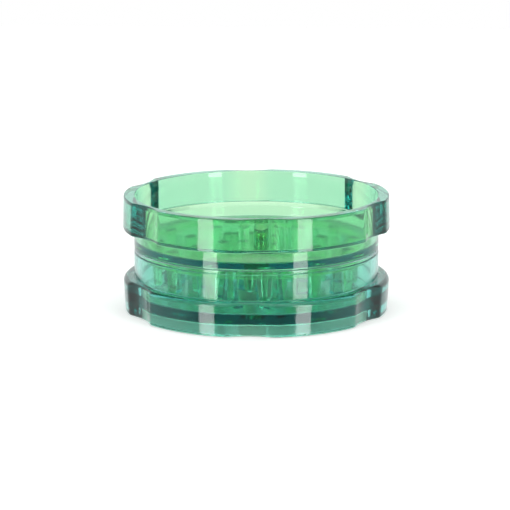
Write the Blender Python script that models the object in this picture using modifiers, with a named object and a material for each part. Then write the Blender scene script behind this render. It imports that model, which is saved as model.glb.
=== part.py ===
"""Hand twist grinder: two clear green mouldings that turn on each other.

The base stands on its foot ring at z = 0 and the turning axis is Z.  The lid sits on
a thin glide ring on the base's rim, and its tray is open at the top.  Both mouldings
have a grip band of six lobes and six flutes, and both carry rings of diamond teeth.
"""

import math

import bmesh
import bpy

MM = 0.001
GAP = 0.3 * MM                      # clearance kept between pieces that touch
OVERCUT = 2.0 * MM                  # how far a cutter runs past the face that it opens
OVERLAP = 0.5 * MM                  # how far a joined shape runs into the one that holds it

# Grip bands of the base and the lid: round lobes with a shallow flute between them
LOBES = 6
LOBE_STEPS = 6                      # straight facets along one lobe
PEAK_RADIUS = 31.5 * MM             # from the axis to the face of a lobe
FLUTE_DEPTH = 1.5 * MM
FLUTE_HALF = math.radians(10.5)     # from the middle of a flute to its edge
FLUTE_STEPS = 6
BASE_BAND_HEIGHT = 8.0 * MM
BAND_CHAMFER = 0.4 * MM
BASE_SHOULDER = 0.9 * MM            # wider chamfer round the top of the base band
BASE_DRAFT = 0.38 * MM              # how much narrower the base band is at the foot
LID_DRAFT = 0.19 * MM               # how much narrower the lid band is at the rim

# Turned walls
TURN_STEPS = 90
WAIST_RADIUS = 28.9 * MM
BORE_RADIUS = 27.4 * MM
MOUTH_RADIUS = 28.55 * MM
MOUTH_STEP = 1.1 * MM               # height of the slope from the bore to the mouth
MOUTH_LEAD_IN = 0.2 * MM
LEAD_IN_DEPTH = 1.2 * MM
CORNER_CUT = 0.6 * MM               # cut corner where a floor meets its wall

# Heights of the base, from the surface that it stands on
FOOT_RADIUS = 28.0 * MM             # inside of the foot ring
BASE_FLOOR_UNDER = 2.6 * MM
BASE_FLOOR_TOP = 4.75 * MM
BASE_RIM = 14.2 * MM

# Heights of the lid
LID_FLOOR_UNDER = 15.3 * MM
LID_FLOOR_TOP = 16.55 * MM
LID_BAND_LOW = 19.55 * MM
TOTAL_HEIGHT = 27.4 * MM
LID_TWIST = math.radians(6.1)       # where the lid has been left, seen from above

# Rib that centres the lid in the base, and the ring that it turns on
RIB_RADIUS = BORE_RADIUS - GAP
RIB_THICKNESS = 1.1 * MM
RIB_LOW = 12.9 * MM
RING_INSET = 0.1 * MM               # how far the ring lies inside the waist

# Magnets, each in a pocket that a thin cap closes
MAGNET_RADIUS = 3.0 * MM
MAGNET_HEIGHT = 2.0 * MM
CAP_HEIGHT = 0.6 * MM
POCKET_RADIUS = MAGNET_RADIUS + GAP
POCKET_DEPTH = CAP_HEIGHT + MAGNET_HEIGHT + 2 * GAP
POST_RADIUS = 4.6 * MM              # base post round the lower magnet
POST_TOP = 14.6 * MM
BOSS_RADIUS = 4.2 * MM              # boss on the tray floor over the upper magnet
BOSS_ROOF = 0.6 * MM                # plastic left over the upper pocket
BOSS_TOP = LID_FLOOR_UNDER + POCKET_DEPTH + BOSS_ROOF
ROUND_STEPS = 48

# Diamond teeth: (name, ring radius, number of teeth)
LID_RINGS = (
    ("inner", 8.4 * MM, 6),
    ("middle", 15.9 * MM, 9),
    ("outer", 23.3 * MM, 12),
)
BASE_RINGS = (
    ("inner", 12.1 * MM, 7),
    ("outer", 19.6 * MM, 12),
)
TOOTH_ROOT = 2.3 * MM               # half diagonal along the ring, at the root
TOOTH_TIP = 1.25 * MM               # the same at the tip
TOOTH_FLATNESS = 0.76               # half diagonal across the ring, as a share of it
TOOTH_CLEARANCE = 0.9 * MM          # from a tooth's tip to the floor that faces it
LID_TOOTH_TURN = math.radians(-13.9)  # from the lid's lobes to its teeth

GREEN = (0.16, 0.55, 0.34, 1.0)
PALE_GREEN = (0.45, 0.78, 0.62, 1.0)
NICKEL = (0.62, 0.62, 0.60, 1.0)


def clear_scene():
    """Remove every object of the startup scene."""
    for thing in list(bpy.data.objects):
        bpy.data.objects.remove(thing, do_unlink=True)


def make_collection(name):
    """Return a new collection linked to the scene."""
    collection = bpy.data.collections.new(name)
    bpy.context.scene.collection.children.link(collection)
    return collection


def plastic(name, colour):
    """Clear moulded plastic."""
    material = bpy.data.materials.new(name)
    material.use_nodes = True
    shader = material.node_tree.nodes["Principled BSDF"]
    shader.inputs["Base Color"].default_value = colour
    shader.inputs["Roughness"].default_value = 0.05
    shader.inputs["Metallic"].default_value = 0.0
    shader.inputs["IOR"].default_value = 1.49
    shader.inputs["Transmission Weight"].default_value = 1.0
    return material


def metal(name, colour):
    """Bright plated metal."""
    material = bpy.data.materials.new(name)
    material.use_nodes = True
    shader = material.node_tree.nodes["Principled BSDF"]
    shader.inputs["Base Color"].default_value = colour
    shader.inputs["Roughness"].default_value = 0.22
    shader.inputs["Metallic"].default_value = 1.0
    return material


def add_object(name, mesh, collection, parent=None):
    """Put a mesh in a collection as a new object."""
    thing = bpy.data.objects.new(name, mesh)
    collection.objects.link(thing)
    thing.parent = parent
    return thing


def as_cutter(thing):
    """Keep a helper shape out of the model."""
    thing.hide_render = True
    thing.display_type = "WIRE"
    return thing


def smooth(thing, angle=math.radians(35.0)):
    """Shade a round piece smooth, with its real edges kept sharp."""
    thing.data.shade_smooth()
    thing.data.set_sharp_from_angle(angle=angle)


def polar(radius, angle):
    """Plan position at a radius and an angle from +X."""
    return (radius * math.cos(angle), radius * math.sin(angle))


def lobe_outline(shrink):
    """Points of the grip band's outline, lobe by lobe, the first lobe centred on +X."""
    half_pitch = math.pi / LOBES
    points = []
    for lobe in range(LOBES):
        middle = 2 * half_pitch * lobe
        for step in range(LOBE_STEPS):
            along = 2 * step / LOBE_STEPS - 1
            angle = middle + (half_pitch - FLUTE_HALF) * along
            points.append(polar(PEAK_RADIUS - shrink, angle))
        for step in range(FLUTE_STEPS):
            along = 2 * step / FLUTE_STEPS - 1
            angle = middle + half_pitch + FLUTE_HALF * along
            depth = FLUTE_DEPTH * (1 - along ** 2)
            points.append(polar(PEAK_RADIUS - shrink - depth, angle))
    return points


def grip_band(name, bottom, top, collection, parent=None):
    """Solid lobed prism: each end is given as (height, draft, chamfer)."""
    low, low_draft, low_cut = bottom
    high, high_draft, high_cut = top
    levels = (
        (low, low_draft + low_cut),
        (low + low_cut, low_draft),
        (high - high_cut, high_draft),
        (high, high_draft + high_cut),
    )
    work = bmesh.new()
    loops = []
    for height, shrink in levels:
        corners = [work.verts.new((x, y, height)) for x, y in lobe_outline(shrink)]
        pairs = zip(corners, corners[1:] + corners[:1])
        loops.append([work.edges.new(pair) for pair in pairs])
    for lower, upper in zip(loops, loops[1:]):
        bmesh.ops.bridge_loops(work, edges=lower + upper)
    bmesh.ops.contextual_create(work, geom=loops[0])
    bmesh.ops.contextual_create(work, geom=loops[-1])
    bmesh.ops.recalc_face_normals(work, faces=work.faces)
    mesh = bpy.data.meshes.new(name)
    work.to_mesh(mesh)
    work.free()
    return add_object(name, mesh, collection, parent)


def turned(name, profile, collection, parent=None, steps=TURN_STEPS, ring=False):
    """Turn a profile of (radius, height) points, given top to bottom, about Z."""
    mesh = bpy.data.meshes.new(name)
    corners = [(radius, 0.0, height) for radius, height in profile]
    edges = [(index, index + 1) for index in range(len(profile) - 1)]
    if ring:
        edges.append((len(profile) - 1, 0))
    mesh.from_pydata(corners, edges, [])
    thing = add_object(name, mesh, collection, parent)
    screw = thing.modifiers.new("turn", "SCREW")
    screw.steps = steps
    screw.render_steps = steps
    screw.use_merge_vertices = True
    screw.merge_threshold = 0.00001
    screw.use_smooth_shade = True
    return thing


def join(target, other, operation):
    """Add another shape to the target, or cut it away."""
    boolean = target.modifiers.new(other.name, "BOOLEAN")
    boolean.operation = operation
    boolean.object = other
    boolean.solver = "EXACT"


def make_base(parts, cutters):
    """Lower moulding: foot ring, grip band, floor, wall and magnet post."""
    bottom = (0.0, BASE_DRAFT, BAND_CHAMFER)
    top = (BASE_BAND_HEIGHT, 0.0, BASE_SHOULDER)
    body = grip_band("base_body", bottom, top, parts)
    wall = turned("base_wall_form", (
        (0.0, BASE_RIM),
        (WAIST_RADIUS, BASE_RIM),
        (WAIST_RADIUS, BASE_BAND_HEIGHT - OVERCUT),
        (0.0, BASE_BAND_HEIGHT - OVERCUT),
    ), cutters)
    chamber = turned("base_chamber_cut", (
        (0.0, BASE_RIM + OVERCUT),
        (BORE_RADIUS, BASE_RIM + OVERCUT),
        (BORE_RADIUS, BASE_FLOOR_TOP + CORNER_CUT),
        (BORE_RADIUS - CORNER_CUT, BASE_FLOOR_TOP),
        (0.0, BASE_FLOOR_TOP),
    ), cutters)
    recess = turned("base_foot_cut", (
        (0.0, BASE_FLOOR_UNDER),
        (FOOT_RADIUS - CORNER_CUT, BASE_FLOOR_UNDER),
        (FOOT_RADIUS, BASE_FLOOR_UNDER - CORNER_CUT),
        (FOOT_RADIUS, -OVERCUT),
        (0.0, -OVERCUT),
    ), cutters)
    post = turned("base_post_form", (
        (0.0, POST_TOP),
        (POST_RADIUS - BAND_CHAMFER, POST_TOP),
        (POST_RADIUS, POST_TOP - BAND_CHAMFER),
        (POST_RADIUS, BASE_FLOOR_TOP - OVERLAP),
        (0.0, BASE_FLOOR_TOP - OVERLAP),
    ), cutters, steps=ROUND_STEPS)
    pocket = turned("base_pocket_cut", (
        (0.0, POST_TOP + OVERCUT),
        (POCKET_RADIUS, POST_TOP + OVERCUT),
        (POCKET_RADIUS, POST_TOP - POCKET_DEPTH),
        (0.0, POST_TOP - POCKET_DEPTH),
    ), cutters, steps=ROUND_STEPS)
    join(body, as_cutter(wall), "UNION")
    join(body, as_cutter(chamber), "DIFFERENCE")
    join(body, as_cutter(recess), "DIFFERENCE")
    join(body, as_cutter(post), "UNION")
    join(body, as_cutter(pocket), "DIFFERENCE")
    smooth(body)
    return body


def make_lid(parts, cutters, axis):
    """Upper moulding: open tray with a grip band, centring rib and magnet boss."""
    bottom = (LID_BAND_LOW, 0.0, BAND_CHAMFER)
    top = (TOTAL_HEIGHT, LID_DRAFT, BAND_CHAMFER)
    body = grip_band("lid_body", bottom, top, parts, axis)
    wall = turned("lid_wall_form", (
        (0.0, LID_BAND_LOW + OVERCUT),
        (WAIST_RADIUS, LID_BAND_LOW + OVERCUT),
        (WAIST_RADIUS, LID_FLOOR_UNDER),
        (RIB_RADIUS, LID_FLOOR_UNDER),
        (RIB_RADIUS, RIB_LOW),
        (0.0, RIB_LOW),
    ), cutters, axis)
    tray = turned("lid_tray_cut", (
        (0.0, TOTAL_HEIGHT + OVERCUT),
        (MOUTH_RADIUS + MOUTH_LEAD_IN, TOTAL_HEIGHT + OVERCUT),
        (MOUTH_RADIUS + MOUTH_LEAD_IN, TOTAL_HEIGHT),
        (MOUTH_RADIUS, TOTAL_HEIGHT - LEAD_IN_DEPTH),
        (MOUTH_RADIUS, LID_BAND_LOW + MOUTH_STEP / 2),
        (BORE_RADIUS, LID_BAND_LOW - MOUTH_STEP / 2),
        (BORE_RADIUS, LID_FLOOR_TOP + CORNER_CUT),
        (BORE_RADIUS - CORNER_CUT, LID_FLOOR_TOP),
        (0.0, LID_FLOOR_TOP),
    ), cutters, axis)
    underside = turned("lid_underside_cut", (
        (0.0, LID_FLOOR_UNDER),
        (RIB_RADIUS - RIB_THICKNESS, LID_FLOOR_UNDER),
        (RIB_RADIUS - RIB_THICKNESS, RIB_LOW - OVERCUT),
        (0.0, RIB_LOW - OVERCUT),
    ), cutters, axis)
    boss = turned("lid_boss_form", (
        (0.0, BOSS_TOP),
        (BOSS_RADIUS - BAND_CHAMFER, BOSS_TOP),
        (BOSS_RADIUS, BOSS_TOP - BAND_CHAMFER),
        (BOSS_RADIUS, LID_FLOOR_TOP - OVERLAP),
        (0.0, LID_FLOOR_TOP - OVERLAP),
    ), cutters, axis, steps=ROUND_STEPS)
    pocket = turned("lid_pocket_cut", (
        (0.0, LID_FLOOR_UNDER + POCKET_DEPTH),
        (POCKET_RADIUS, LID_FLOOR_UNDER + POCKET_DEPTH),
        (POCKET_RADIUS, LID_FLOOR_UNDER - OVERCUT),
        (0.0, LID_FLOOR_UNDER - OVERCUT),
    ), cutters, axis, steps=ROUND_STEPS)
    join(body, as_cutter(wall), "UNION")
    join(body, as_cutter(tray), "DIFFERENCE")
    join(body, as_cutter(underside), "DIFFERENCE")
    join(body, as_cutter(boss), "UNION")
    join(body, as_cutter(pocket), "DIFFERENCE")
    smooth(body)
    return body


def make_disc(name, radius, low, height, collection, parent=None):
    """Short round piece on the axis: a magnet or a cap."""
    mesh = bpy.data.meshes.new(name)
    work = bmesh.new()
    bmesh.ops.create_cone(
        work, cap_ends=True, segments=ROUND_STEPS, radius1=radius, radius2=radius, depth=height)
    work.to_mesh(mesh)
    work.free()
    thing = add_object(name, mesh, collection, parent)
    thing.location.z = low + height / 2
    smooth(thing)
    return thing


def make_glide_ring(parts):
    """Thin flat ring between the base's rim and the lid."""
    low = BASE_RIM + GAP
    high = LID_FLOOR_UNDER - GAP
    return turned("glide_ring", (
        (BORE_RADIUS, high),
        (WAIST_RADIUS - RING_INSET, high),
        (WAIST_RADIUS - RING_INSET, low),
        (BORE_RADIUS, low),
    ), parts, ring=True)


def tooth_mesh(name, low_size, high_size, height):
    """Four-sided tapered tooth with a diamond plan, long diagonal along Y."""
    mesh = bpy.data.meshes.new(name)
    work = bmesh.new()
    bmesh.ops.create_cone(
        work, cap_ends=True, segments=4, radius1=low_size, radius2=high_size, depth=height)
    bmesh.ops.scale(work, vec=(TOOTH_FLATNESS, 1.0, 1.0), verts=work.verts)
    work.to_mesh(mesh)
    work.free()
    return mesh


def make_teeth(prefix, rings, turn, mesh, middle, material, collection, parent=None):
    """Rings of diamond teeth, every tooth its own object on the shared mesh."""
    mesh.materials.append(material)
    for ring_name, radius, count in rings:
        for index in range(count):
            angle = turn + 2 * math.pi * (index + 0.5) / count
            name = f"{prefix}_tooth_{ring_name}_{index + 1:02d}"
            tooth = add_object(name, mesh, collection, parent)
            tooth.location = (*polar(radius, angle), middle)
            tooth.rotation_euler.z = angle


def main():
    """Build the grinder."""
    clear_scene()
    parts = make_collection("twist_grinder")
    cutters = make_collection("twist_grinder_cutters")
    axis = add_object("lid_axis", None, parts)
    axis.rotation_euler.z = LID_TWIST

    base = make_base(parts, cutters)
    base.data.materials.append(plastic("base_green", GREEN))
    lid = make_lid(parts, cutters, axis)
    lid.data.materials.append(plastic("lid_green", GREEN))
    ring = make_glide_ring(parts)
    ring.data.materials.append(plastic("glide_ring_clear", PALE_GREEN))

    base_cap_low = POST_TOP - CAP_HEIGHT
    base_magnet_low = base_cap_low - GAP - MAGNET_HEIGHT
    lid_magnet_low = LID_FLOOR_UNDER + CAP_HEIGHT + GAP
    for name, low, parent in (
            ("base_magnet", base_magnet_low, None), ("lid_magnet", lid_magnet_low, axis)):
        magnet = make_disc(name, MAGNET_RADIUS, low, MAGNET_HEIGHT, parts, parent)
        magnet.data.materials.append(metal(name + "_nickel", NICKEL))
    for name, low, parent in (
            ("base_magnet_cap", base_cap_low, None), ("lid_magnet_cap", LID_FLOOR_UNDER, axis)):
        cap = make_disc(name, MAGNET_RADIUS, low, CAP_HEIGHT, parts, parent)
        cap.data.materials.append(plastic(name + "_green", GREEN))

    lid_root = LID_FLOOR_UNDER - GAP
    lid_tip = BASE_FLOOR_TOP + TOOTH_CLEARANCE
    base_root = BASE_FLOOR_TOP + GAP
    base_tip = LID_FLOOR_UNDER - TOOTH_CLEARANCE
    lid_mesh = tooth_mesh("lid_tooth", TOOTH_TIP, TOOTH_ROOT, lid_root - lid_tip)
    base_mesh = tooth_mesh("base_tooth", TOOTH_ROOT, TOOTH_TIP, base_tip - base_root)
    make_teeth("lid", LID_RINGS, LID_TOOTH_TURN, lid_mesh, (lid_root + lid_tip) / 2,
               plastic("lid_tooth_green", GREEN), parts, axis)
    make_teeth("base", BASE_RINGS, 0.0, base_mesh, (base_root + base_tip) / 2,
               plastic("base_tooth_green", GREEN), parts)


main()
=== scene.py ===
"""Clear green twist grinder: fine glass-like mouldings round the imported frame."""

import math

import bmesh
import bpy
from mathutils import Matrix, Vector


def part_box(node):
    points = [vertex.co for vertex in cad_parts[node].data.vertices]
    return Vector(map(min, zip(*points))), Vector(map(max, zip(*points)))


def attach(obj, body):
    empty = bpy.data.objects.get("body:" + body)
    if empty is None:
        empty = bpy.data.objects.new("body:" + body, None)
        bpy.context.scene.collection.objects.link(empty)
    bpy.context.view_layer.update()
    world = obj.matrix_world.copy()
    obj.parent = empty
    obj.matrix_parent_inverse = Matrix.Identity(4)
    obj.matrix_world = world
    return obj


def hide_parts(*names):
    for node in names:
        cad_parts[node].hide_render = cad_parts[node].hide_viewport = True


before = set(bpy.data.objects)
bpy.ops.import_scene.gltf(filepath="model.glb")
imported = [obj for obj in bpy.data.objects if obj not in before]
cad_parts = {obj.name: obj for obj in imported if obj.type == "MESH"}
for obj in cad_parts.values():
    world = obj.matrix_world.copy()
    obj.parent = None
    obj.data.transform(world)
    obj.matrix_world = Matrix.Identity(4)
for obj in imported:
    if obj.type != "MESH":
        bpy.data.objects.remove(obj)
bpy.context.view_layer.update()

MM = 0.001

# Grip bands: the base's and the lid's share one outline of lobes with a flute between each
PEAK_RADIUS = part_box("base_body")[1].x
TOTAL_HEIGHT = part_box("lid_body")[1].z
LOBES = 6
FLUTE_DEPTH = 1.5 * MM
FLUTE_HALF = math.radians(10.5)     # from the middle of a flute to its edge
FLUTE_EDGE = 0.12                   # how blunt a flute's edges are
LID_TWIST = math.radians(6.1)       # where the lid's lobes stand in the frame
BASE_BAND_HIGH = 8.0 * MM
LID_BAND_LOW = 19.55 * MM
BASE_DRAFT = 0.38 * MM
LID_DRAFT = 0.19 * MM

# Walls, floors and rims
WAIST_RADIUS = 28.9 * MM
BORE_RADIUS = 27.4 * MM
MOUTH_RADIUS = 28.55 * MM
MOUTH_FLARE = 0.2 * MM              # how far the tray's mouth opens at the rim
MOUTH_FLARE_DEPTH = 1.2 * MM
FOOT_RADIUS = 28.0 * MM
FOOT_TAPER = 0.15 * MM
BASE_FLOOR_UNDER = 2.6 * MM
BASE_FLOOR_TOP = 4.75 * MM
BASE_RIM = 14.15 * MM
LID_FLOOR_UNDER = 15.0 * MM
LID_FLOOR_TOP = 16.55 * MM
TRAY_STEP_LOW = LID_BAND_LOW - 0.6 * MM     # from the bore out to the mouth
TRAY_STEP_HIGH = LID_BAND_LOW + 0.3 * MM
RIB_RADIUS = 27.1 * MM
RIB_THICKNESS = 1.1 * MM
RIB_LOW = 12.9 * MM
FACE_MARGIN = 2.0 * MM              # flat ground between a wall and a floor's closing face
RIB_FACE_MARGIN = 0.7 * MM
RING_INSET = 0.05 * MM              # the glide ring's edge behind the waist
RING_OVER_RIM = 0.02 * MM
RING_UNDER_LID = 0.03 * MM

# Fillet radii
SOFT = 0.5 * MM
EASED = 0.4 * MM
PLAIN = 0.3 * MM
SLIGHT = 0.25 * MM
CRISP = 0.2 * MM
SHARP = 0.1 * MM
GRIP_SHOULDER = 1.1 * MM
POST_FILLET = 0.35 * MM
DISC_FILLET = 0.15 * MM

# Post, boss, magnets and teeth
POST_RADIUS = 4.6 * MM
POST_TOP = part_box("base_body")[1].z
BOSS_RADIUS = 4.2 * MM
BOSS_TOP = 19.1 * MM
MAGNET_RADIUS = 3.0 * MM
CAP_RADIUS = 3.05 * MM
POCKET_RADIUS = 3.1 * MM
POCKET_GAP = 0.1 * MM               # from a magnet's far face to the end of its pocket
TOOTH_ROOT = 2.3 * MM
TOOTH_TIP = 1.25 * MM
TOOTH_FLATNESS = 0.76
TOOTH_BEVEL = 0.18 * MM
SINK = 0.4 * MM                     # how far a joined shape runs into the one that holds it

# Mesh fineness and shading
COLUMNS_PER_LOBE = 64
COLUMNS = LOBES * COLUMNS_PER_LOBE
FILLET_STEPS = 5
FILLET_LIMIT = 0.49                 # share of a side that one fillet may take
ROUND_STEPS = 96
WELD_DISTANCE = 0.001 * MM
SHARP_ANGLE = math.radians(28.0)
FLAT_FACE_WEIGHT = 80

# Colours: a wall's own colour, what its depth lets through, and how fast depth tells
LID_WALL = (0.62, 0.94, 0.60, 1.0)
LID_TINT = (0.0, 0.73, 0.78, 1.0)
LID_DENSITY = 140.0
BASE_WALL = (0.75, 0.96, 0.84, 1.0)
BASE_TINT = (0.0, 0.76, 0.76, 1.0)
BASE_DENSITY = 185.0
RING_WALL = (0.90, 0.98, 0.94, 1.0)
RING_DENSITY = 60.0
NICKEL = (0.62, 0.61, 0.58, 1.0)
PAPER = (0.92, 0.92, 0.92, 1.0)
WHITE = (1.0, 1.0, 1.0, 1.0)

# Surfaces
CLEAR_ROUGHNESS = 0.07
CLEAR_IOR = 1.49
RIPPLE_SCALE = 160.0
RIPPLE_DETAIL = 2.0
RIPPLE_HEIGHT = 0.02 * MM
MOULDING_RIPPLE = 0.15
RING_RIPPLE = 0.1
GRAIN_SCALE = 900.0
GRAIN_DETAIL = 4.0
NICKEL_SMOOTH = 0.18
NICKEL_DULL = 0.34
PAPER_ROUGHNESS = 0.9
PAPER_SHEEN = 0.1

# Camera: its bearing and distance from what it aims at, which is a little off the middle
CAMERA_AZIMUTH = math.radians(2.6)
CAMERA_ELEVATION = math.radians(12.45)
CAMERA_DISTANCE = 634 * MM
CAMERA_LENS = 189.0
CAMERA_SENSOR = 36.0
CAMERA_REACH = 20.0
AIM_RIGHT = -0.33 * MM
AIM_UP = -1.16 * MM

# Floor: white paper that glows a little more for the camera, so that it stays white
FLOOR_SIZE = 1.0
FLOOR_GAP = 0.02 * MM               # keeps the paper off the foot's own face
FLOOR_GLOW = 0.1
FLOOR_SEEN_GLOW = 0.3

# Soft boxes: name and bearing from the camera's; radiance is 1 for white paper
FRONT_BOXES = (("soft_box_left", math.radians(-43.2)), ("soft_box_right", math.radians(40.8)))
FRONT_BOX_SIZE = (0.24, 1.4)
FRONT_BOX_DISTANCE = 1.0
FRONT_BOX_RADIANCE = 7.5
TOP_BOX_SIZE = (1.2, 1.2)
TOP_BOX_DISTANCE = 1.2
TOP_BOX_RADIANCE = 2.2

# Room: brightness by direction, with edges as parts of a unit vector. It fades from the
# camera's side to the back and dims towards the ceiling. Straight down it is white, in place
# of the paper, which reflections don't see.
ROOM_FRONT = 0.27
ROOM_BACK = 1.0
ROOM_FRONT_EDGE = -0.8
ROOM_BACK_EDGE = -0.2
ROOM_CEILING = 0.2
ROOM_WALL_TOP = 0.35
ROOM_CEILING_EDGE = 0.75
ROOM_FLOOR_FULL = -0.42
ROOM_FLOOR_EDGE = -0.28

# Light paths: enough for every wall of the clear pieces
CLEAR_BOUNCES = 40
MIRROR_BOUNCES = 16
CUTOUT_BOUNCES = 24


# ---------------------------------------------------------------- outlines and lofts

def lobe_radius(angle, shrink):
    """Radius of the grip band's outline, with soft edges to the flutes."""
    pitch = 2 * math.pi / LOBES
    from_lobe = abs(angle - round(angle / pitch) * pitch)
    inside = 1 - ((pitch / 2 - from_lobe) / FLUTE_HALF) ** 2
    depth = FLUTE_DEPTH * (inside + math.hypot(inside, FLUTE_EDGE)) / 2
    return PEAK_RADIUS - shrink - depth


def outward(angle):
    """Level unit vector at an angle round the axis."""
    return Vector((math.cos(angle), math.sin(angle), 0))


def rounded(corners):
    """Turn (radius, height, fillet) corners into points, each fillet as an arc."""
    points = []
    for index, (x, y, fillet) in enumerate(corners):
        if fillet == 0 or index in (0, len(corners) - 1):
            points.append((x, y))
            continue
        here = Vector((x, y))
        back = Vector(corners[index - 1][:2]) - here
        ahead = Vector(corners[index + 1][:2]) - here
        half = back.angle(ahead) / 2
        longest = FILLET_LIMIT * min(back.length, ahead.length)
        cut = min(fillet / math.tan(half), longest)
        radius = cut * math.tan(half)
        inward = (back.normalized() + ahead.normalized()).normalized()
        centre = here + inward * radius / math.sin(half)
        start = here + back.normalized() * cut - centre
        end = here + ahead.normalized() * cut - centre
        sweep = start.angle_signed(end)
        for step in range(FILLET_STEPS + 1):
            arm = start.copy()
            arm.rotate(Matrix.Rotation(-sweep * step / FILLET_STEPS, 2))
            points.append(tuple(centre + arm))
    return points


def loft(name, profile, twist=0.0):
    """Closed shell from a profile of (radius, height, fillet, fluted) corners.

    The profile runs from the edge of one flat face to the edge of another, and each of the
    two is closed with one face. A fluted corner's radius is its inset from the outline.
    """
    work = bmesh.new()
    columns = []
    for index in range(COLUMNS):
        angle = 2 * math.pi * index / COLUMNS
        corners = []
        for radius, height, fillet, fluted in profile:
            reach = lobe_radius(angle, radius) if fluted else radius
            corners.append((reach, height, fillet))
        out = outward(angle + twist)
        column = []
        for reach, height in rounded(corners):
            column.append(work.verts.new(out * reach + Vector((0, 0, height))))
        columns.append(column)
    for column, following in zip(columns, columns[1:] + columns[:1]):
        for row in range(len(column) - 1):
            work.faces.new((column[row], column[row + 1], following[row + 1], following[row]))
    work.faces.new([column[0] for column in reversed(columns)])
    work.faces.new([column[-1] for column in columns])
    bmesh.ops.recalc_face_normals(work, faces=work.faces)
    return mesh_object(name, work)


def mesh_object(name, work):
    """New object in the scene from a bmesh, which is freed."""
    mesh = bpy.data.meshes.new(name)
    work.to_mesh(mesh)
    work.free()
    thing = bpy.data.objects.new(name, mesh)
    bpy.context.scene.collection.objects.link(thing)
    return thing


def turned(name, corners, steps=ROUND_STEPS):
    """Turn a closed profile of (radius, height, fillet) corners about Z."""
    work = bmesh.new()
    points = rounded(corners)
    columns = []
    for step in range(steps):
        out = outward(2 * math.pi * step / steps)
        columns.append([work.verts.new(out * x + Vector((0, 0, y))) for x, y in points])
    on_axis = corners[0][0] == 0
    for column, following in zip(columns, columns[1:] + columns[:1]):
        rows = range(len(column) - 1) if on_axis else range(len(column))
        for row in rows:
            low = (row + 1) % len(column)
            work.faces.new((column[row], column[low], following[low], following[row]))
    bmesh.ops.remove_doubles(work, verts=work.verts, dist=WELD_DISTANCE)
    bmesh.ops.recalc_face_normals(work, faces=work.faces)
    return mesh_object(name, work)


def apply_modifiers(thing):
    """Apply a thing's modifiers to its mesh."""
    graph = bpy.context.evaluated_depsgraph_get()
    mesh = bpy.data.meshes.new_from_object(thing.evaluated_get(graph))
    thing.modifiers.clear()
    old = thing.data
    thing.data = mesh
    bpy.data.meshes.remove(old)


def combine(target, other, operation):
    """Join another closed shape to the target or cut it away, and remove the other."""
    boolean = target.modifiers.new("combine", "BOOLEAN")
    boolean.operation = operation
    boolean.object = other
    boolean.solver = "EXACT"
    apply_modifiers(target)
    bpy.data.objects.remove(other, do_unlink=True)


def finish_surface(thing):
    """Smooth shading with true flats: sharp where faces meet at more than SHARP_ANGLE."""
    thing.data.shade_smooth()
    thing.data.set_sharp_from_angle(angle=SHARP_ANGLE)
    weighted = thing.modifiers.new("flat_faces_stay_flat", "WEIGHTED_NORMAL")
    weighted.keep_sharp = True
    weighted.weight = FLAT_FACE_WEIGHT


# ---------------------------------------------------------------- teeth

def add_tooth(work, place, turn, low, high, low_size, high_size):
    """Tapered diamond tooth with softened edges."""
    made = bmesh.ops.create_cone(
        work, cap_ends=True, segments=4, radius1=low_size, radius2=high_size, depth=high - low)
    corners = made["verts"]
    bmesh.ops.scale(work, vec=(TOOTH_FLATNESS, 1.0, 1.0), verts=corners)
    bmesh.ops.rotate(work, matrix=Matrix.Rotation(turn, 3, "Z"), verts=corners)
    bmesh.ops.translate(work, vec=(place.x, place.y, (low + high) / 2), verts=corners)
    edges = list(dict.fromkeys(edge for vert in corners for edge in vert.link_edges))
    bmesh.ops.bevel(
        work, geom=edges, offset=TOOTH_BEVEL, segments=2, profile=0.5, affect="EDGES")


def teeth(name, prefix, root, tip):
    """All of one moulding's teeth, each where the frame has it."""
    work = bmesh.new()
    low, high = min(root, tip), max(root, tip)
    sizes = (TOOTH_ROOT, TOOTH_TIP) if root < tip else (TOOTH_TIP, TOOTH_ROOT)
    for node in sorted(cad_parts):
        if node.startswith(prefix):
            corner_a, corner_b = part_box(node)
            place = (corner_a + corner_b) / 2
            turn = math.atan2(place.y, place.x)
            add_tooth(work, place, turn, low, high, *sizes)
    return mesh_object(name, work)


# ---------------------------------------------------------------- mouldings

def plug(name, radius, top, bottom, top_fillet=0, bottom_fillet=0):
    """Solid round plug on the axis."""
    return turned(name, (
        (0.0, top, 0),
        (radius, top, top_fillet),
        (radius, bottom, bottom_fillet),
        (0.0, bottom, 0),
    ))


def make_base():
    """Lower moulding: foot ring, grip band, floor, wall, post and teeth."""
    shell = loft("base_moulding", (
        (BORE_RADIUS - FACE_MARGIN, BASE_FLOOR_TOP, 0, False),
        (BORE_RADIUS, BASE_FLOOR_TOP, SOFT, False),
        (BORE_RADIUS, BASE_RIM, SLIGHT, False),
        (WAIST_RADIUS, BASE_RIM, PLAIN, False),
        (WAIST_RADIUS, BASE_BAND_HIGH, PLAIN, False),
        (0.0, BASE_BAND_HIGH, GRIP_SHOULDER, True),
        (BASE_DRAFT, 0.0, SOFT, True),
        (FOOT_RADIUS, 0.0, PLAIN, False),
        (FOOT_RADIUS - FOOT_TAPER, BASE_FLOOR_UNDER, EASED, False),
        (FOOT_RADIUS - FACE_MARGIN, BASE_FLOOR_UNDER, 0, False),
    ))
    post = plug("base_post", POST_RADIUS, POST_TOP, BASE_FLOOR_TOP - SINK, POST_FILLET)
    pocket_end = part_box("base_magnet")[0].z - POCKET_GAP
    pocket = plug("base_pocket", POCKET_RADIUS, POST_TOP + SINK, pocket_end)
    combine(shell, post, "UNION")
    combine(shell, teeth("base_teeth", "base_tooth", BASE_FLOOR_TOP - SINK,
                         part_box("base_tooth_outer_01")[1].z), "UNION")
    combine(shell, pocket, "DIFFERENCE")
    finish_surface(shell)
    return shell


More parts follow.
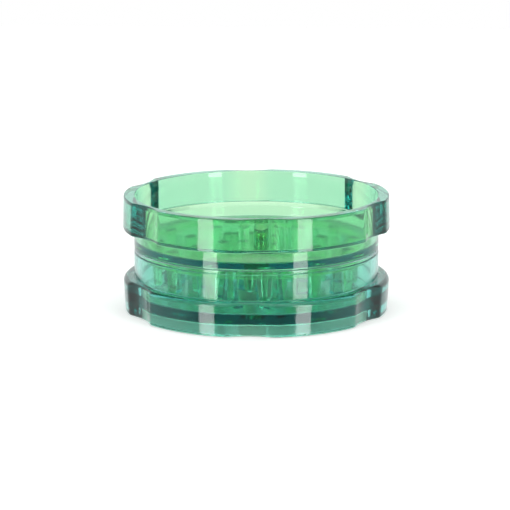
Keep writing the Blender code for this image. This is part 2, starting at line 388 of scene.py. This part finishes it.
def make_lid():
    """Upper moulding: tray, grip band, floor, centring rib, boss and teeth."""
    rib_inside = RIB_RADIUS - RIB_THICKNESS
    shell = loft("lid_moulding", (
        (BORE_RADIUS - FACE_MARGIN, LID_FLOOR_TOP, 0, False),
        (BORE_RADIUS, LID_FLOOR_TOP, SOFT, False),
        (BORE_RADIUS, TRAY_STEP_LOW, EASED, False),
        (MOUTH_RADIUS, TRAY_STEP_HIGH, EASED, False),
        (MOUTH_RADIUS, TOTAL_HEIGHT - MOUTH_FLARE_DEPTH, PLAIN, False),
        (MOUTH_RADIUS + MOUTH_FLARE, TOTAL_HEIGHT, CRISP, False),
        (LID_DRAFT, TOTAL_HEIGHT, PLAIN, True),
        (0.0, LID_BAND_LOW, PLAIN, True),
        (WAIST_RADIUS, LID_BAND_LOW, PLAIN, False),
        (WAIST_RADIUS, LID_FLOOR_UNDER, SLIGHT, False),
        (RIB_RADIUS, LID_FLOOR_UNDER, SHARP, False),
        (RIB_RADIUS, RIB_LOW, PLAIN, False),
        (rib_inside, RIB_LOW, PLAIN, False),
        (rib_inside, LID_FLOOR_UNDER, PLAIN, False),
        (rib_inside - RIB_FACE_MARGIN, LID_FLOOR_UNDER, 0, False),
    ), LID_TWIST)
    boss = plug("lid_boss", BOSS_RADIUS, BOSS_TOP, LID_FLOOR_TOP - SINK, POST_FILLET)
    pocket_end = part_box("lid_magnet")[1].z + POCKET_GAP
    pocket = plug("lid_pocket", POCKET_RADIUS, pocket_end, LID_FLOOR_UNDER - SINK)
    combine(shell, boss, "UNION")
    combine(shell, teeth("lid_teeth", "lid_tooth", LID_FLOOR_UNDER + SINK,
                         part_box("lid_tooth_outer_01")[0].z), "UNION")
    combine(shell, pocket, "DIFFERENCE")
    finish_surface(shell)
    return shell


def make_glide_ring():
    """Clear ring between the base's rim and the lid."""
    low = BASE_RIM + RING_OVER_RIM
    high = LID_FLOOR_UNDER - RING_UNDER_LID
    ring = turned("glide_ring_clear", (
        (BORE_RADIUS, high, 0),
        (WAIST_RADIUS - RING_INSET, high, CRISP),
        (WAIST_RADIUS - RING_INSET, low, CRISP),
        (BORE_RADIUS, low, 0),
    ), steps=COLUMNS)
    finish_surface(ring)
    return ring


def make_disc(name, node, radius):
    """Magnet or cap: a disc with softened rims, where the frame has it."""
    low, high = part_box(node)
    disc = plug(name, radius, high.z, low.z, DISC_FILLET, DISC_FILLET)
    finish_surface(disc)
    return disc


# ---------------------------------------------------------------- materials

def new_material(name):
    """Node material that holds only an output, with its node tree and that output."""
    material = bpy.data.materials.new(name)
    material.use_nodes = True
    tree = material.node_tree
    tree.nodes.clear()
    output = tree.nodes.new("ShaderNodeOutputMaterial")
    return material, tree, output


def clear_moulding(name, wall, tint, density, ripple):
    """Clear tinted moulding: a wall's own colour, absorption, and faint flow ripple."""
    material, tree, output = new_material(name)
    shader = tree.nodes.new("ShaderNodeBsdfPrincipled")
    shader.inputs["Base Color"].default_value = wall
    shader.inputs["Roughness"].default_value = CLEAR_ROUGHNESS
    shader.inputs["IOR"].default_value = CLEAR_IOR
    shader.inputs["Transmission Weight"].default_value = 1.0
    absorb = tree.nodes.new("ShaderNodeVolumeAbsorption")
    absorb.inputs["Color"].default_value = tint
    absorb.inputs["Density"].default_value = density
    place = tree.nodes.new("ShaderNodeTexCoord")
    noise = tree.nodes.new("ShaderNodeTexNoise")
    noise.inputs["Scale"].default_value = RIPPLE_SCALE
    noise.inputs["Detail"].default_value = RIPPLE_DETAIL
    bump = tree.nodes.new("ShaderNodeBump")
    bump.inputs["Strength"].default_value = ripple
    bump.inputs["Distance"].default_value = RIPPLE_HEIGHT
    tree.links.new(place.outputs["Object"], noise.inputs["Vector"])
    tree.links.new(noise.outputs["Fac"], bump.inputs["Height"])
    tree.links.new(bump.outputs["Normal"], shader.inputs["Normal"])
    tree.links.new(shader.outputs["BSDF"], output.inputs["Surface"])
    tree.links.new(absorb.outputs["Volume"], output.inputs["Volume"])
    return material


def nickel(name):
    """Satin nickel plate with a faint grain."""
    material, tree, output = new_material(name)
    shader = tree.nodes.new("ShaderNodeBsdfPrincipled")
    shader.inputs["Base Color"].default_value = NICKEL
    shader.inputs["Metallic"].default_value = 1.0
    place = tree.nodes.new("ShaderNodeTexCoord")
    noise = tree.nodes.new("ShaderNodeTexNoise")
    noise.inputs["Scale"].default_value = GRAIN_SCALE
    noise.inputs["Detail"].default_value = GRAIN_DETAIL
    spread = tree.nodes.new("ShaderNodeMapRange")
    spread.inputs["To Min"].default_value = NICKEL_SMOOTH
    spread.inputs["To Max"].default_value = NICKEL_DULL
    tree.links.new(place.outputs["Object"], noise.inputs["Vector"])
    tree.links.new(noise.outputs["Fac"], spread.inputs["Value"])
    tree.links.new(spread.outputs["Result"], shader.inputs["Roughness"])
    tree.links.new(shader.outputs["BSDF"], output.inputs["Surface"])
    return material


def floor_material():
    """Plain white paper."""
    material, tree, output = new_material("studio_white")
    shader = tree.nodes.new("ShaderNodeBsdfPrincipled")
    shader.inputs["Base Color"].default_value = PAPER
    shader.inputs["Roughness"].default_value = PAPER_ROUGHNESS
    shader.inputs["Specular IOR Level"].default_value = PAPER_SHEEN
    shader.inputs["Emission Color"].default_value = WHITE
    path = tree.nodes.new("ShaderNodeLightPath")
    glow = tree.nodes.new("ShaderNodeMapRange")
    glow.inputs["To Min"].default_value = FLOOR_GLOW
    glow.inputs["To Max"].default_value = FLOOR_SEEN_GLOW
    tree.links.new(path.outputs["Is Camera Ray"], glow.inputs["Value"])
    tree.links.new(glow.outputs["Result"], shader.inputs["Emission Strength"])
    tree.links.new(shader.outputs["BSDF"], output.inputs["Surface"])
    return material


def dress(thing, material):
    """Give a piece its one material."""
    thing.data.materials.clear()
    thing.data.materials.append(material)


# ---------------------------------------------------------------- studio

def direction(azimuth, elevation):
    """Unit vector from the object, with azimuth 0 towards -Y and 90 towards +X."""
    return Vector((
        math.sin(azimuth) * math.cos(elevation),
        -math.cos(azimuth) * math.cos(elevation),
        math.sin(elevation),
    ))


def make_camera():
    """Camera on a long lens, aimed just below the middle of the object."""
    data = bpy.data.cameras.new("camera")
    data.lens = CAMERA_LENS
    data.sensor_width = CAMERA_SENSOR
    data.clip_end = CAMERA_REACH
    camera = bpy.data.objects.new("camera", data)
    bpy.context.scene.collection.objects.link(camera)
    back = direction(CAMERA_AZIMUTH, CAMERA_ELEVATION)
    right = Vector((math.cos(CAMERA_AZIMUTH), math.sin(CAMERA_AZIMUTH), 0))
    up = back.cross(right)
    middle = Vector((0, 0, TOTAL_HEIGHT / 2))
    aim = middle + right * AIM_RIGHT + up * AIM_UP
    camera.location = aim + back * CAMERA_DISTANCE
    camera.rotation_mode = "QUATERNION"
    camera.rotation_quaternion = (-back).to_track_quat("-Z", "Y")
    bpy.context.scene.camera = camera


def make_floor():
    """Pale paper floor; past its edge the camera sees the room's white."""
    bpy.ops.mesh.primitive_plane_add(size=FLOOR_SIZE, location=(0, 0, -FLOOR_GAP))
    floor = bpy.context.object
    floor.name = "studio_floor"
    floor.visible_glossy = False
    dress(floor, floor_material())


def make_soft_box(name, toward, distance, size, radiance):
    """Rectangular soft box of the given radiance, facing the object."""
    width, height = size
    data = bpy.data.lights.new(name, "AREA")
    data.shape = "RECTANGLE"
    data.size = width
    data.size_y = height
    data.energy = radiance * math.pi * width * height
    light = bpy.data.objects.new(name, data)
    bpy.context.scene.collection.objects.link(light)
    light.location = toward * distance
    light.rotation_mode = "QUATERNION"
    light.rotation_quaternion = (-toward).to_track_quat("-Z", "Y")


def fade(tree, axis, start, end, low, high):
    """Smooth step of one direction axis, from low at its start to high at its end."""
    step = tree.nodes.new("ShaderNodeMapRange")
    step.interpolation_type = "SMOOTHSTEP"
    step.inputs["From Min"].default_value = start
    step.inputs["From Max"].default_value = end
    step.inputs["To Min"].default_value = low
    step.inputs["To Max"].default_value = high
    tree.links.new(axis, step.inputs["Value"])
    return step.outputs["Result"]


def blend(tree, operation, first, second):
    """One maths node on two values."""
    node = tree.nodes.new("ShaderNodeMath")
    node.operation = operation
    tree.links.new(first, node.inputs[0])
    tree.links.new(second, node.inputs[1])
    return node.outputs["Value"]


def make_room():
    """Room light by direction; the camera itself sees plain white."""
    world = bpy.data.worlds.new("studio")
    bpy.context.scene.world = world
    world.use_nodes = True
    tree = world.node_tree
    background = tree.nodes["Background"]
    background.inputs["Color"].default_value = WHITE
    place = tree.nodes.new("ShaderNodeTexCoord")
    turn = tree.nodes.new("ShaderNodeVectorRotate")
    turn.rotation_type = "Z_AXIS"
    turn.inputs["Angle"].default_value = -CAMERA_AZIMUTH
    axes = tree.nodes.new("ShaderNodeSeparateXYZ")
    path = tree.nodes.new("ShaderNodeLightPath")
    tree.links.new(place.outputs["Generated"], turn.inputs["Vector"])
    tree.links.new(turn.outputs["Vector"], axes.inputs["Vector"])
    depth, height = axes.outputs["Y"], axes.outputs["Z"]
    walls = fade(tree, depth, ROOM_FRONT_EDGE, ROOM_BACK_EDGE, ROOM_FRONT, ROOM_BACK)
    ceiling = fade(tree, height, ROOM_WALL_TOP, ROOM_CEILING_EDGE, 1.0, ROOM_CEILING)
    paper = fade(tree, height, ROOM_FLOOR_FULL, ROOM_FLOOR_EDGE, 1.0, 0.0)
    room = blend(tree, "MAXIMUM", blend(tree, "MULTIPLY", walls, ceiling), paper)
    seen = blend(tree, "MAXIMUM", room, path.outputs["Is Camera Ray"])
    tree.links.new(seen, background.inputs["Strength"])


def make_lights():
    """Two tall soft boxes on the camera's side and a wide one overhead."""
    for name, bearing in FRONT_BOXES:
        toward = direction(CAMERA_AZIMUTH + bearing, 0.0)
        make_soft_box(name, toward, FRONT_BOX_DISTANCE, FRONT_BOX_SIZE, FRONT_BOX_RADIANCE)
    overhead = Vector((0, 0, 1))
    make_soft_box("soft_box_top", overhead, TOP_BOX_DISTANCE, TOP_BOX_SIZE, TOP_BOX_RADIANCE)


def set_light_paths():
    """Let light cross every wall of the clear pieces, and show colours as they are."""
    scene = bpy.context.scene
    scene.cycles.max_bounces = CLEAR_BOUNCES
    scene.cycles.transmission_bounces = CLEAR_BOUNCES
    scene.cycles.glossy_bounces = MIRROR_BOUNCES
    scene.cycles.transparent_max_bounces = CUTOUT_BOUNCES
    scene.view_settings.view_transform = "Standard"
    scene.view_settings.look = "None"


# ---------------------------------------------------------------- assembly

def put_in_frame(thing, material, body, nodes):
    """Dress a piece, hide the frame nodes it stands in for, and hang it on its body."""
    dress(thing, material)
    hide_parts(*nodes)
    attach(thing, body)


def main():
    """Build the pieces round the frame and light them."""
    set_light_paths()
    make_camera()
    make_floor()
    make_room()
    make_lights()

    greens = {
        "base": clear_moulding(
            "clear_green_base", BASE_WALL, BASE_TINT, BASE_DENSITY, MOULDING_RIPPLE),
        "lid": clear_moulding(
            "clear_green_lid", LID_WALL, LID_TINT, LID_DENSITY, MOULDING_RIPPLE),
    }
    clear = clear_moulding("clear_ring", RING_WALL, LID_TINT, RING_DENSITY, RING_RIPPLE)
    plate = nickel("nickel_plate")

    for body, make in (("base", make_base), ("lid", make_lid)):
        nodes = [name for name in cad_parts
                 if name == body + "_body" or name.startswith(body + "_tooth")]
        put_in_frame(make(), greens[body], body, nodes)
    put_in_frame(make_glide_ring(), clear, "glide_ring", ["glide_ring"])
    for body in ("base", "lid"):
        magnet = make_disc(body + "_magnet_disc", body + "_magnet", MAGNET_RADIUS)
        put_in_frame(magnet, plate, body, [body + "_magnet"])
        cap = make_disc(body + "_cap_disc", body + "_magnet_cap", CAP_RADIUS)
        put_in_frame(cap, greens[body], body, [body + "_magnet_cap"])


main()
